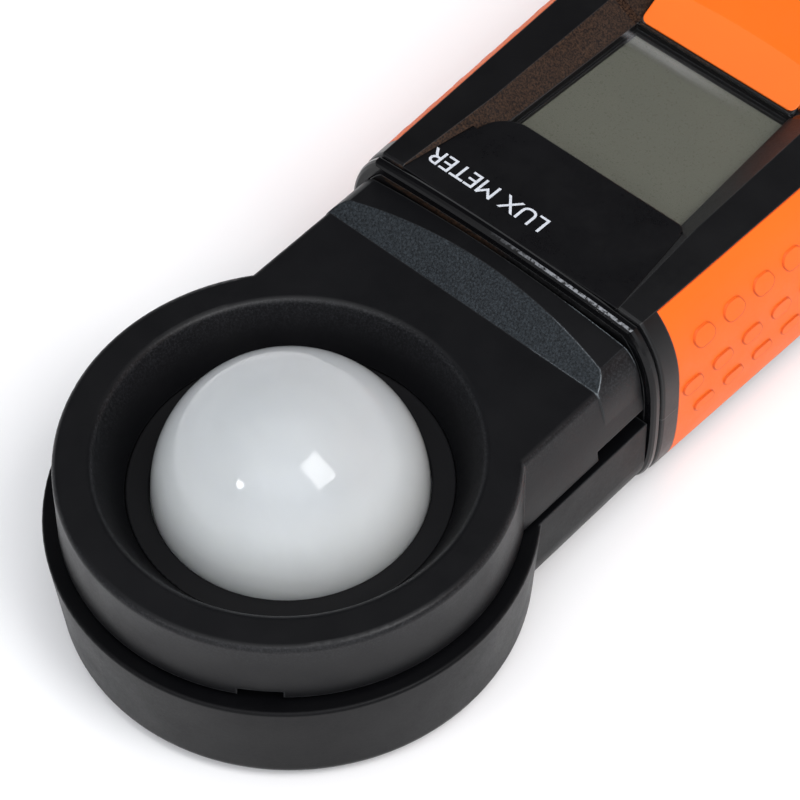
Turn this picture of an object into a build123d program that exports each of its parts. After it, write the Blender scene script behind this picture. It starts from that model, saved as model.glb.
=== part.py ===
from build123d import *
import os

os.makedirs("parts", exist_ok=True)

# Handheld light meter lying on its back. Millimetres.
# +Z points out of the display, +Y toward the sensor head, X = 0 is the middle plane.

# ---- overall layout ----
LENGTH = 176.0
HEAD_Y = 58.0
COLLAR_Y = 20.4
NECK_END_Y = 20.8
BODY_END_Y = -LENGTH / 2
AXIS_Z = 15.0
WALL = 2.0
MOVING_GAP = 0.3
FAR = 100.0
FULL_HALF = 40.0

# ---- sensor head ----
PLATE_Z = 26.0
UPPER_R_TOP = 27.8
UPPER_R_LOW = 28.1
UPPER_LOW_Z = 16.6
RIM_ROUND = 0.8
LOWER_R_TOP = 30.0
LOWER_R_BOTTOM = 29.0
LOWER_TOP_Z = 15.8
LOWER_EDGE_ROUND = 1.8
SHELF_ROUND = 0.4
HEAD_BOTTOM_Z = 1.0
HEAD_FLOOR_Z = 3.0
BOWL_R_TOP = 23.2
BOWL_R_FLOOR = 19.76
BOWL_FLOOR_Z = 19.8
BOWL_ROUND = 1.0
SHELL_JOINT_R = 25.9
TONGUE_R_OUT = 25.7
TONGUE_R_IN = 24.2
TONGUE_LOW_Z = 13.8
TONGUE_TOP_Z = 18.0
PRY_SLOT_ANGLE = 126
PRY_SLOT_HALF = 2.7
PRY_SLOT_DEPTH_R = 27.3
PRY_SLOT_TOP_Z = 17.7

# ---- diffuser dome ----
DOME_R = 16.7
DOME_CENTRE_Z = 19.05
DOME_WALL = 1.6
DOME_FLANGE_R = 18.6
DOME_FLANGE_TOP = 18.6
DOME_FLANGE_LOW = 17.4
DOME_OPENING_R = 15.7
RING_CLEARANCE = 0.1
RING_EDGE_ROUND = 0.25

# ---- sensor board inside the head ----
BOARD_T = 1.6
SENSOR_BOARD_Z = 12.3
SENSOR_BOARD_TOP = SENSOR_BOARD_Z + BOARD_T
SENSOR_BOARD_R = 14.0
SENSOR_SCREW_RING_R = 11.8
SENSOR_SCREW_ANGLES = (90, 210, 330)
DIODE_R = 4.6
DIODE_CAN_R = 4.0
DIODE_TOP = SENSOR_BOARD_TOP + 3.2
FILTER_T = 1.1
HOLDER_R_IN = 4.7
HOLDER_R_OUT = 9.2
HEAD_SCREW_RING_R = 23.2
HEAD_SCREW_ANGLES = (45, 135, 225, 315)

# ---- neck ----
NECK_START_Y = 50.0
RAMP_START_Y = 27.6
RAMP_RISE_PER_MM = 0.62
NECK_TOP_Z = 28.9
NECK_CORNER_X = 20.2
NECK_CORNER_Z = 27.4
NECK_HALF_LOW = 23.9
NECK_HALF_MID = 23.2
NECK_MID_Z = 21.0
NECK_HALF_PLATE = 21.8
LOWER_NECK_HALF = 24.4
LOWER_NECK_ROUND = 7.5
NECK_SLOT_Y = 29.5
NECK_SLOT_TOP_Z = 18.2
NECK_SLOT_X = 22.6

# ---- swivel ----
SHAFT_R = 6.5
SHAFT_BORE_R = 4.0
SHAFT_START_Y = 24.4
SHAFT_END_Y = 8.0
SHAFT_FLANGE_T = 1.6
SHAFT_FLANGE_HALF = 11.5
SHAFT_FLANGE_LOW_Z = 9.0
SHAFT_FLANGE_TOP_Z = 21.0
BUSHING_R = 8.0
BUSHING_START_Y = 18.6
BUSHING_END_Y = 12.0
CLIP_START_Y = 11.4
CLIP_T = 1.0
CLIP_GROOVE_R = 5.6
CLIP_R = 8.8
CLIP_GAP_HALF = 4.0
WASHER_T = 0.5
RUNNING_FIT = 0.05
LEAD_R = 1.1
LEAD_END_Y = 2.4

# ---- body envelope ----
BODY_TOP_Z = 31.0
BODY_MID_Z = BODY_TOP_Z / 2
BODY_HALF = 25.2
BOTTOM_HALF = 17.6
RAIL_X = 20.8
RAIL_Z = 30.1
WIDEN = 1.07
WIDE_START_Y = -30.0
WIDE_END_Y = -62.0
TAIL_START_Y = -82.5
TAIL_SHOULDER_Y = -86.4
TAIL_NARROW = 0.96
SHOULDER_NARROW = 0.955
END_NARROW = 0.95
SHOULDER_SLOPE = 1.1
TAIL_SLOPE = 3.0
TAIL_CORNER_R = 15.0
TAIL_OUTLINE_HALF = 26.2
CASE_WALL = 3.6
CAVITY_TOP_Z = 25.4
CAVITY_LOW_Z = 2.4
CAVITY_START_Y = 17.8

# ---- collar ----
RING_BACK_Y = 18.8
RING_SECTIONS = ((0.0, 0.62), (0.2, 0.3), (0.55, 0.14), (1.1, 0.14), (1.4, 0.26), (1.6, 0.5))
COLLAR_SECTIONS = ((0.0, 0.36), (0.15, 0.12), (0.45, 0.0))

# ---- grip ----
GRIP_START_Y = 15.8
GRIP_LOW_Z = 3.4
GRIP_T = 1.6
PAD_ROWS = ((24.0, 3.0, 0.0), (17.2, 2.5, -0.44), (11.8, 2.0, 0.0))
PAD_PITCH = 5.55
PAD_LENGTH = 3.7
PAD_SLANT = 0.55
PAD_FIRST_Y = 10.8
PAD_COUNT = 13
PAD_RISE = 0.18
PAD_ROOT = 0.4
PAD_MIN_X = 23.0

# ---- display recess ----
NAMEPLATE_START_Z = 30.3
NAMEPLATE_END_Z = 29.2
NAMEPLATE_T = 1.0
NAMEPLATE_END_Y = 2.7
NAMEPLATE_ROUND = {1: 4.6, -1: 1.2}
RECESS_HALF = 12.9
LENS_START_HALF = 13.7
LENS_END_HALF = 12.5
LENS_END_Y = -21.3
LENS_TOP_Z = 28.0
LENS_T = 1.0
LIP_Y = -21.9
LIP_Z = LENS_TOP_Z + 0.2
LIP_BEAD_R = 0.28
SLOPE_END_Y = -27.2
GUTTER_END_Y = -26.2
LCD_TOP_Z = 26.35
LCD_POCKET_Z = 26.4
LCD_LOW_Z = 23.9
LCD_HALF = 14.4
LCD_START_Y = 6.0
LCD_END_Y = -23.0
POLARISER_HALF = 13.8
POLARISER_T = 0.25
FRAME_HALF = 16.2
FRAME_START_Y = 7.6
FRAME_END_Y = -24.6
STRIP_HALF = 13.0
STRIP_T = 1.8
STRIP_YS = (5.2, -20.4)

# ---- front panel ----
PANEL_HALF_LIP = 12.5
PANEL_HALF = 17.0
PANEL_FLARE_Y = -31.0
PANEL_END_Y = -73.0
PANEL_LOW_Z = 29.2
PANEL_CORNER_R = 9.0
PANEL_SOFT_R = 0.9

# ---- buttons: centre, width and height of each key ----
BUTTONS = {
    "hold_button": (-8.2, -41.0, 12.5, 7.0),
    "max_min_button": (8.2, -41.0, 12.5, 7.0),
    "units_button": (0.0, -51.4, 12.5, 7.0),
    "power_button": (0.0, -63.0, 10.4, 10.4),
}
BUTTON_TOP_Z = 32.0
BUTTON_LOW_Z = 24.2
BUTTON_FLANGE_T = 1.0
BUTTON_FLANGE_GROW = 1.1
BUTTON_STEM_R = 1.8
BUTTON_STEM_Z = 21.7
BUTTON_ROUND = 0.49
BUTTON_EDGE_ROUND = 0.6
SWITCH_DOME_OUTLINE = ((0, 0), (3.0, 0), (2.4, 0.3), (0.8, 0.45), (0, 0.45))

# ---- main board ----
BOARD_Z = 18.9
BOARD_TOP_Z = BOARD_Z + BOARD_T
BOARD_HALF = 20.0
BOARD_START_Y = 6.0
BOARD_END_Y = -72.0
BOARD_CORNER_R = 3.0
SOCKET_HALF = 4.5
SOCKET_START_Y = 5.0
SOCKET_END_Y = -1.5
SOCKET_LOW_Z = 12.4
SOCKET_BORE_END_Y = 1.2
CHIP_T = 1.4
# chip corners: x0, x1, y0, y1
CHIPS = ((-5, 5, -26, -36), (8, 13, -28, -32), (-13, -9, -40, -46))
CAN_H = 3.0
# can capacitors: x, y, radius
CAN_CAPACITORS = ((10, -42, 2.5), (-11, -30, 2.0))
SMALL_CAPACITOR_XS = (-2.4, 5.6)
SMALL_CAPACITOR_Y = -48.8

# ---- battery bay ----
CELL_R = 5.25
CELL_LENGTH = 43.4
CELL_NUB = 1.1
CELL_NUB_R = 1.9
CELL_PITCH = 11.1
CELL_Z = 8.1
CONTACT_GAP = 0.05
BAY_HALF = 16.9
BAY_WALL = 1.6
BAY_START_Y = -27.6
BAY_END_Y = -77.4
BAY_ROOF_Z = 13.6
PLATE_T = 0.4
PLATE_HALF = 4.4
PLATE_LOW_Z = 3.4
PLATE_TOP_Z = 12.6
SPRING_WIRE_R = 0.3
SPRING_COIL_R = 2.6
SPRING_PITCH = 1.25
DOOR_HALF = 16.4
DOOR_T = 2.0
DOOR_START_Y = -25.0
DOOR_CHANNEL_Z = 2.4
TONGUE = 1.0
TONGUE_Z = 1.2
TONGUE_END_Y = -80.0
PAD_HALF = 14.0
PAD_START_Y = -46.0
PAD_END_Y = -60.0
PAD_LOW_Z = 1.5
PAD_TOP_Z = 2.1
THUMB_GROOVES = 5
THUMB_GROOVE_PITCH = 2.0
THUMB_GROOVE_START_Y = -32.0
THUMB_GROOVE_WIDTH = 13.0
THUMB_GROOVE_SIZE = 0.9

# ---- fixings ----
CASE_SCREW_X = 18.9
CASE_SCREW_YS = (8.6, -19.0)
CASE_BOSS_R = 2.5
CASE_PILOT_R = 1.2
CASE_PILOT_TOP_Z = 22.6
CASE_COLUMN_R = 2.9
CASE_HEAD_R = 1.8
CASE_HEAD_LOW_Z = 2.4
CASE_HEAD_TOP_Z = 4.0
BOARD_SCREW_X = 18.7
BOARD_SCREW_YS = (1.0, -56.0)
BOARD_BOSS_R = 2.2
BOARD_PILOT_R = 0.9
BOARD_HEAD_R = 1.6
BOARD_HEAD_T = 1.2


def save(name, *pieces):
    """Write one node, its pieces kept as separate solids."""
    solids = []
    for piece in pieces:
        solids.extend(piece.solids())
    shape = solids[0] if len(solids) == 1 else Compound(children=solids)
    shape.label = name
    export_step(shape, f"parts/{name}.step")


def block(x0, x1, y0, y1, z0, z1):
    """Box between two opposite corners."""
    centre = ((x0 + x1) / 2, (y0 + y1) / 2, (z0 + z1) / 2)
    return Pos(*centre) * Box(abs(x1 - x0), abs(y1 - y0), abs(z1 - z0))


def post(x, y, radius, z0, z1):
    """Upright cylinder."""
    return Pos(x, y, (z0 + z1) / 2) * Cylinder(radius, abs(z1 - z0))


def rod(x, z, radius, y0, y1):
    """Cylinder lying along the body."""
    return Pos(x, (y0 + y1) / 2, z) * Rot(90, 0, 0) * Cylinder(radius, abs(y1 - y0))


def turned(outline, y=HEAD_Y):
    """Solid of revolution about an upright axis, from (radius, z) points."""
    face = make_face(Polyline(*[(r, 0, z) for r, z in outline], close=True))
    return Pos(0, y, 0) * revolve(face, Axis.Z, 360)


def disc(radius, z0, z1):
    """Upright cylinder about the head's centre."""
    return post(0, HEAD_Y, radius, z0, z1)


def around_head(radius, angles):
    """Places on a circle about the head's centre, at z = 0."""
    return [Pos(0, HEAD_Y, 0) * Rot(0, 0, angle) * Pos(radius, 0, 0) for angle in angles]


def column(spot, radius, z0, z1):
    """Upright cylinder at a place."""
    return spot * Pos(0, 0, (z0 + z1) / 2) * Cylinder(radius, z1 - z0)


def side_cut(outline, half_width=FULL_HALF):
    """Prism of (y, z) points carried across the width."""
    face = make_face(Polyline(*[(-half_width, y, z) for y, z in outline], close=True))
    return extrude(face, amount=2 * half_width, dir=(1, 0, 0))


def plan(outline, z0, z1):
    """Prism of (x, y) points carried upward."""
    face = make_face(Polyline(*[(x, y, z0) for x, y in outline], close=True))
    return extrude(face, amount=z1 - z0, dir=(0, 0, 1))


def mirrored(points):
    """Right-hand (x, y) points followed by their mirror images."""
    return list(points) + [(-x, y) for x, y in reversed(points)]


def both_sides(x, ys):
    """Places at +x and -x for each y."""
    return [(side * x, y) for side in (-1, 1) for y in ys]


# ======================= swivelling sensor head =======================
def neck_section(y, side_points, top_edge, end_tangent=None):
    """Neck cross-section: a curved side, its mirror image, a top edge and a flat bottom."""
    points = [(x, y, z) for x, z in side_points]
    tangents = ((-0.16, 0, 1), end_tangent) if end_tangent else None
    right = Spline(*points, tangents=tangents) if tangents else Spline(*points)
    low = Line(points[0], (-points[0][0], y, points[0][2]))
    return make_face([right, top_edge, mirror(right, Plane.YZ), low])


def neck_block(inset, top_z, y0, y1):
    """Upper half of the neck below the flat plate."""
    side = [
        (NECK_HALF_LOW - inset, UPPER_LOW_Z),
        (NECK_HALF_MID - inset, NECK_MID_Z),
        (NECK_HALF_PLATE - inset, top_z),
    ]
    half = NECK_HALF_PLATE - inset
    face = neck_section(y1, side, Line((half, y1, top_z), (-half, y1, top_z)))
    return extrude(face, amount=y0 - y1, dir=(0, 1, 0))


def crown_block():
    """The neck's raised end: the sides curl over into a crowned top, cut back by the ramp."""
    y = NECK_END_Y
    side = [
        (NECK_HALF_LOW, UPPER_LOW_Z),
        (NECK_HALF_MID, NECK_MID_Z),
        (NECK_HALF_PLATE, PLATE_Z),
        (NECK_CORNER_X, NECK_CORNER_Z),
    ]
    top = ThreePointArc(
        (NECK_CORNER_X, y, NECK_CORNER_Z), (0, y, NECK_TOP_Z), (-NECK_CORNER_X, y, NECK_CORNER_Z)
    )
    face = neck_section(y, side, top, end_tangent=(-1, 0, 0.35))
    crown = extrude(face, amount=RAMP_START_Y - y, dir=(0, 1, 0))
    ramp_length = RAMP_START_Y - y + 1.0
    ramp_air = side_cut([
        (RAMP_START_Y, PLATE_Z),
        (RAMP_START_Y - ramp_length, PLATE_Z + ramp_length * RAMP_RISE_PER_MM),
        (RAMP_START_Y - ramp_length, FULL_HALF),
        (RAMP_START_Y, FULL_HALF),
    ])
    return crown - ramp_air


def lower_neck(inset, low_z, top_z, y0, y1):
    """Neck's lower half, with rounded bottom corners."""
    half = LOWER_NECK_HALF - inset
    solid = block(-half, half, y0, y1, low_z, top_z)
    edges = solid.edges().filter_by(Axis.Y).sort_by(Axis.Z)[:2]
    return fillet(edges, LOWER_NECK_ROUND - inset)


def make_upper_shell():
    shell = turned([(0, UPPER_LOW_Z), (UPPER_R_LOW, UPPER_LOW_Z), (UPPER_R_TOP, PLATE_Z), (0, PLATE_Z)])
    shell = shell + neck_block(0, PLATE_Z, NECK_START_Y, NECK_END_Y)
    rim = shell.edges().group_by(Axis.Z)[-1].filter_by(lambda edge: edge.center().Y > NECK_END_Y + 0.5)
    shell = fillet(rim, RIM_ROUND)
    shell = shell + crown_block()
    shell = shell - turned([
        (0, BOWL_FLOOR_Z), (BOWL_R_FLOOR, BOWL_FLOOR_Z), (BOWL_R_TOP, PLATE_Z),
        (BOWL_R_TOP, FULL_HALF), (0, FULL_HALF),
    ])
    bowl_edge = shell.edges().filter_by(GeomType.CIRCLE).filter_by(
        lambda edge: abs(edge.radius - BOWL_R_TOP) < 0.01 and abs(edge.center().Z - PLATE_Z) < 0.01
    )
    shell = fillet(bowl_edge, BOWL_ROUND)
    flange_seat_r = DOME_FLANGE_R + 0.05
    shell = shell - disc(DOME_OPENING_R, 0, DOME_FLANGE_LOW)
    shell = shell - disc(flange_seat_r, DOME_FLANGE_LOW, DOME_FLANGE_TOP)
    shell = shell - disc(BOWL_R_FLOOR, DOME_FLANGE_TOP, BOWL_FLOOR_Z + 0.1)
    rim_hollow_in = BOWL_R_FLOOR + WALL + 0.14
    shell = shell - turned([
        (rim_hollow_in, 10.0), (SHELL_JOINT_R, 10.0), (SHELL_JOINT_R, 23.6),
        (SHELL_JOINT_R - 1.5, 23.6), (rim_hollow_in, 19.4),
    ])
    hollow_end_y = 36.5
    neck_hollow = neck_block(WALL, 23.8, hollow_end_y, NECK_END_Y + WALL)
    mouth_half = NECK_HALF_PLATE
    neck_hollow = neck_hollow + block(-mouth_half, mouth_half, hollow_end_y, NECK_END_Y + WALL, 10.0, 17.0)
    shell = shell - (neck_hollow - disc(SHELL_JOINT_R, 0, FULL_HALF))
    # rib that clamps the shaft's flange
    shell = shell + block(-12.0, 12.0, 31.5, SHAFT_START_Y + 0.1, 17.6, 23.9)
    shell = shell - block(-16.0, 16.0, 33.0, 26.0, 10.0, 23.0)
    for spot in around_head(HEAD_SCREW_RING_R, HEAD_SCREW_ANGLES):
        shell = shell + column(spot, 2.4, UPPER_LOW_Z, 21.0)
        shell = shell - column(spot, 1.0, UPPER_LOW_Z - 0.2, 20.6)
    for side in (-1, 1):
        shell = shell - block(
            side * NECK_SLOT_X, side * (NECK_SLOT_X + 2.4), NECK_SLOT_Y, NECK_END_Y - 1, 10.0, NECK_SLOT_TOP_Z
        )
    pry_slot = block(PRY_SLOT_DEPTH_R, 29.0, -PRY_SLOT_HALF, PRY_SLOT_HALF, 10.0, PRY_SLOT_TOP_Z)
    shell = shell - Pos(0, HEAD_Y, 0) * Rot(0, 0, PRY_SLOT_ANGLE) * pry_slot
    return shell - shaft_hole


def make_lower_shell():
    shell = turned([
        (0, HEAD_BOTTOM_Z), (LOWER_R_BOTTOM, HEAD_BOTTOM_Z), (LOWER_R_TOP, LOWER_TOP_Z), (0, LOWER_TOP_Z),
    ])
    shell = fillet(shell.edges().group_by(Axis.Z)[0], LOWER_EDGE_ROUND)
    shell = fillet(shell.edges().group_by(Axis.Z)[-1], SHELF_ROUND)
    shell = shell + lower_neck(0, HEAD_BOTTOM_Z, LOWER_TOP_Z, NECK_START_Y, NECK_END_Y)
    hollow = turned([
        (0, HEAD_FLOOR_Z), (LOWER_R_BOTTOM - WALL, HEAD_FLOOR_Z), (LOWER_R_TOP - WALL - 0.2, TONGUE_LOW_Z),
        (TONGUE_R_IN, TONGUE_LOW_Z), (TONGUE_R_IN, 20.0), (0, 20.0),
    ])
    hollow = hollow + lower_neck(WALL, HEAD_FLOOR_Z, 20.0, 36.0, NECK_END_Y + WALL)
    shell = shell - hollow
    tongue = disc(TONGUE_R_OUT, TONGUE_LOW_Z, TONGUE_TOP_Z) - disc(TONGUE_R_IN, TONGUE_LOW_Z, TONGUE_TOP_Z)
    tongue = tongue - block(-30, 30, 0, 42.5, 0, FULL_HALF)
    screw_spots = around_head(HEAD_SCREW_RING_R, HEAD_SCREW_ANGLES)
    for spot in screw_spots:
        tongue = tongue - column(spot, 2.8, LOWER_TOP_Z, FULL_HALF)
    shell = shell + tongue
    # rib under the shaft's flange
    shell = shell + block(-SHAFT_FLANGE_HALF, SHAFT_FLANGE_HALF, 26.2, SHAFT_START_Y + 0.2, 2.9, 12.4)
    for spot in screw_spots:
        shell = shell + column(spot, 2.9, HEAD_FLOOR_Z - 0.05, UPPER_LOW_Z - 0.05)
        shell = shell - column(spot, 2.1, 0.9, 4.9)
        shell = shell - column(spot, 1.2, 0.0, 20.0)
    for spot in around_head(SENSOR_SCREW_RING_R, SENSOR_SCREW_ANGLES):
        shell = shell + column(spot, 2.2, 2.9, SENSOR_BOARD_Z)
        shell = shell - column(spot, 0.8, SENSOR_BOARD_Z - 5.0, SENSOR_BOARD_Z)
    return shell - shaft_hole


def make_dome():
    dome = Pos(0, HEAD_Y, DOME_CENTRE_Z) * Sphere(DOME_R)
    dome = dome + disc(DOME_FLANGE_R, DOME_FLANGE_LOW, DOME_FLANGE_TOP)
    dome = dome - Pos(0, HEAD_Y, DOME_CENTRE_Z) * Sphere(DOME_R - DOME_WALL)
    return dome - block(-FULL_HALF, FULL_HALF, 20, FAR, -20, DOME_FLANGE_LOW)


def make_dome_ring():
    inner = DOME_R + RING_CLEARANCE
    outer_r = BOWL_R_FLOOR - CONTACT_GAP
    ring = disc(outer_r, DOME_FLANGE_TOP, BOWL_FLOOR_Z) - disc(inner, DOME_FLANGE_TOP, BOWL_FLOOR_Z)
    return fillet(ring.edges().group_by(Axis.Z)[-1], RING_EDGE_ROUND)


def make_sensor_screw(spot):
    """Pan-head screw with a single slot."""
    head_top = SENSOR_BOARD_TOP + 1.2
    screw = column(spot, 1.6, SENSOR_BOARD_TOP, head_top)
    screw = screw + column(spot, 0.8, SENSOR_BOARD_TOP - 5.0, SENSOR_BOARD_TOP)
    return screw - spot * Pos(0, 0, head_top - 0.2) * Box(2.4, 0.4, 0.6)


def make_head_screw(spot):
    """Cross-head screw driven up from the back."""
    head_low = 3.3
    head_top = 4.9
    screw = column(spot, 1.9, head_low, head_top) + column(spot, 1.0, head_top, 20.3)
    cross = spot * Pos(0, 0, head_low + 0.3)
    return screw - cross * Box(2.6, 0.5, 1.0) - cross * Box(0.5, 2.6, 1.0)


def make_shaft():
    shaft = rod(0, AXIS_Z, SHAFT_R, SHAFT_START_Y, SHAFT_END_Y)
    flange_end = SHAFT_START_Y - SHAFT_FLANGE_T
    shaft = shaft + block(
        -SHAFT_FLANGE_HALF, SHAFT_FLANGE_HALF, SHAFT_START_Y, flange_end, SHAFT_FLANGE_LOW_Z, SHAFT_FLANGE_TOP_Z
    )
    return shaft - rod(0, AXIS_Z, SHAFT_BORE_R, 30, 0) - clip_ring(SHAFT_R + 1.0)


def clip_ring(radius):
    """Ring that fills the shaft's clip groove out to a radius."""
    clip_end = CLIP_START_Y - CLIP_T
    return rod(0, AXIS_Z, radius, CLIP_START_Y, clip_end) - rod(0, AXIS_Z, CLIP_GROOVE_R, CLIP_START_Y, clip_end)


shaft_hole = rod(0, AXIS_Z, SHAFT_R + RUNNING_FIT, 10.0, 24.0)
sensor_board = disc(SENSOR_BOARD_R, SENSOR_BOARD_Z, SENSOR_BOARD_TOP)
for board_spot in around_head(SENSOR_SCREW_RING_R, SENSOR_SCREW_ANGLES):
    sensor_board = sensor_board - column(board_spot, 0.9, SENSOR_BOARD_Z, SENSOR_BOARD_TOP)
photodiode = disc(DIODE_R, SENSOR_BOARD_TOP, SENSOR_BOARD_TOP + 0.6) + disc(DIODE_CAN_R, SENSOR_BOARD_TOP, DIODE_TOP)
filter_holder = turned([
    (HOLDER_R_IN, SENSOR_BOARD_TOP), (HOLDER_R_OUT, SENSOR_BOARD_TOP), (HOLDER_R_OUT, SENSOR_BOARD_TOP + 1.4),
    (6.0, SENSOR_BOARD_TOP + 2.0), (6.0, SENSOR_BOARD_TOP + 4.6), (HOLDER_R_IN, SENSOR_BOARD_TOP + 4.6),
])
swivel_clip = clip_ring(CLIP_R) - block(-CLIP_GAP_HALF, CLIP_GAP_HALF, 12, 10, 0, AXIS_Z - 3.0)
washer_start_y = CLIP_START_Y + WASHER_T
swivel_washer = rod(0, AXIS_Z, CLIP_R, washer_start_y, CLIP_START_Y) - rod(0, AXIS_Z, SHAFT_R + 0.02, 12, 11)

save("head_upper_shell", make_upper_shell())
save("head_lower_shell", make_lower_shell())
save("diffuser_dome", make_dome())
save("dome_retaining_ring", make_dome_ring())
save("photodiode", photodiode)
save("colour_filter", disc(DIODE_R, DIODE_TOP, DIODE_TOP + FILTER_T))
save("filter_holder", filter_holder)
save("sensor_board", sensor_board)
save("sensor_board_screws", *[make_sensor_screw(s) for s in around_head(SENSOR_SCREW_RING_R, SENSOR_SCREW_ANGLES)])
save("head_screws", *[make_head_screw(s) for s in around_head(HEAD_SCREW_RING_R, HEAD_SCREW_ANGLES)])
save("swivel_shaft", make_shaft())
save("swivel_washer", swivel_washer)
save("swivel_clip", swivel_clip)
save("sensor_lead", rod(0, AXIS_Z, LEAD_R, HEAD_Y - 9.6, LEAD_END_Y))


# ======================= body envelope =======================
def body_face(y, widen, inset):
    """Cross-section of the body at y, shrunk all round by the inset."""
    kx = widen - inset / BODY_HALF
    kz = 1 - inset / BODY_MID_Z

    def at(x, z):
        return (x * kx, y, BODY_MID_Z + (z - BODY_MID_Z) * kz)

    side_points = [
        (RAIL_X, RAIL_Z), (23.0, 27.3), (24.5, 23.4), (25.1, 18.5), (BODY_HALF, 13.5),
        (25.0, 9.0), (24.0, 4.6), (21.6, 1.4), (BOTTOM_HALF, 0.0),
    ]
    right = Spline(*[at(x, z) for x, z in side_points])
    left = Spline(*[at(-x, z) for x, z in reversed(side_points)])
    top = ThreePointArc(at(-RAIL_X, RAIL_Z), at(0, BODY_TOP_Z), at(RAIL_X, RAIL_Z))
    low = Line(at(BOTTOM_HALF, 0.0), at(-BOTTOM_HALF, 0.0))
    return make_face([top, right, low, left])


def envelope(inset, start_y=COLLAR_Y, front=((0.0, 0.0),)):
    """Body volume, shrunk by the inset, with rounded corners at the tail.

    Each front section is a distance back from start_y and an extra inset there.
    """
    faces = [body_face(start_y - back, 1.0, inset + extra) for back, extra in front]
    faces.append(body_face(WIDE_START_Y, WIDEN, inset))
    faces.append(body_face(WIDE_END_Y, WIDEN, inset))
    faces.append(body_face(TAIL_START_Y + inset, TAIL_NARROW, inset))
    faces.append(body_face(TAIL_SHOULDER_Y + inset, SHOULDER_NARROW, inset + SHOULDER_SLOPE))
    faces.append(body_face(BODY_END_Y + inset, END_NARROW, inset + TAIL_SLOPE))
    solid = loft(faces, ruled=True)
    half = TAIL_OUTLINE_HALF - inset
    outline = block(-half, half, 30, BODY_END_Y + inset, -15, 46)
    tail_edges = outline.edges().filter_by(Axis.Z).sort_by(Axis.Y)[:2]
    outline = fillet(tail_edges, TAIL_CORNER_R - inset)
    keep_front = block(-FULL_HALF, FULL_HALF, WIDE_END_Y, 40, -15, 46)
    return solid & (outline + keep_front)


outer = envelope(0.0, RING_BACK_Y, COLLAR_SECTIONS)
under_grip = envelope(GRIP_T)
nose = under_grip & block(-FULL_HALF, FULL_HALF, COLLAR_Y, RING_BACK_Y, -10, 50)
cavity = envelope(CASE_WALL, CAVITY_START_Y) & block(
    -FULL_HALF, FULL_HALF, -FAR, FULL_HALF, CAVITY_LOW_Z, CAVITY_TOP_Z
)

# ---- glossy bead round the collar's front edge ----
bead = loft([body_face(COLLAR_Y - back, 1.0, extra) for back, extra in RING_SECTIONS], ruled=True)
save("collar_ring", bead - under_grip)

# ---- orange side grip, wrapping the tail ----
rail_plan = mirrored([
    (RAIL_X, 40.0), (RAIL_X, COLLAR_Y), (RAIL_X * WIDEN, WIDE_START_Y), (RAIL_X * WIDEN, -58.0),
    (21.3, -66.0), (18.6, -72.0), (14.0, -76.2), (9.0, -77.6),
])
grip_zone = block(-FULL_HALF, FULL_HALF, GRIP_START_Y, -FAR, GRIP_LOW_Z, 50)
grip_base = ((outer - under_grip) & grip_zone) - plan(rail_plan, -10, 60)


def pad_prism(y, z, height):
    """Slanted pad outline with rounded corners, carried across the body."""
    half = PAD_LENGTH / 2
    drop = height / 2
    shift = PAD_SLANT * drop
    corners = ((half + shift, drop), (-half + shift, drop), (-half - shift, -drop), (half - shift, -drop))
    outline = make_face(Polyline(*[(0, y + dy, z + dz) for dy, dz in corners], close=True))
    face = fillet(outline.vertices(), 0.4 * height)
    return extrude(face, amount=30, dir=(1, 0, 0), both=True)


pads = []
for row_z, row_height, row_shift in PAD_ROWS:
    for index in range(PAD_COUNT):
        pads.append(pad_prism(PAD_FIRST_Y - (index + row_shift) * PAD_PITCH, row_z, row_height))
pad_prisms = Compound(children=[solid for pad in pads for solid in pad.solids()])
pad_skin = envelope(-PAD_RISE, COLLAR_Y) & block(-FULL_HALF, FULL_HALF, GRIP_START_Y, WIDE_END_Y, 0, 50)
pad_bodies = (pad_prisms & pad_skin) - envelope(PAD_ROOT)
save("grip_cover", grip_base + (pad_bodies - block(-PAD_MIN_X, PAD_MIN_X, -FAR, FULL_HALF, -10, 60)))


# ---- display recess: a funnel between the rails ----
def funnel_face(y, half, slope):
    """Cross-section of the funnel: half width at lens level and outward slope."""
    below = 2.0
    above = 6.0
    low = half - below * slope
    high = half + above * slope
    z0 = LENS_TOP_Z - below
    z1 = LENS_TOP_Z + above
    return make_face(Polyline((-low, y, z0), (low, y, z0), (high, y, z1), (-high, y, z1), close=True))


FUNNEL_STATIONS = (
    (RING_BACK_Y, 15.0, 1.0),
    (NAMEPLATE_END_Y, LENS_START_HALF, 1.13),
    (LENS_END_Y, LENS_END_HALF, 1.57),
    (PANEL_END_Y - 1.0, LENS_END_HALF, 1.57),
)
funnel = loft([funnel_face(*station) for station in FUNNEL_STATIONS], ruled=True)
above_body = 40.0
slope_air = side_cut(
    [
        (LIP_Y + 0.1, LENS_TOP_Z), (LIP_Y, LENS_TOP_Z), (LIP_Y, LIP_Z), (SLOPE_END_Y, BODY_TOP_Z + 0.05),
        (SLOPE_END_Y, above_body), (LIP_Y + 0.1, above_body),
    ],
    PANEL_HALF_LIP,
)
recess_air = funnel & (
    side_cut([
        (RING_BACK_Y, NAMEPLATE_START_Z), (NAMEPLATE_END_Y, NAMEPLATE_END_Z), (NAMEPLATE_END_Y, LENS_TOP_Z),
        (LIP_Y, LENS_TOP_Z), (LIP_Y, above_body), (RING_BACK_Y, above_body),
    ])
    + slope_air
)
for side in (-1, 1):
    gutter = block(side * PANEL_HALF_LIP, side * FULL_HALF, LIP_Y + 0.1, GUTTER_END_Y, LENS_TOP_Z, above_body)
    recess_air = recess_air + (gutter & funnel)
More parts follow.
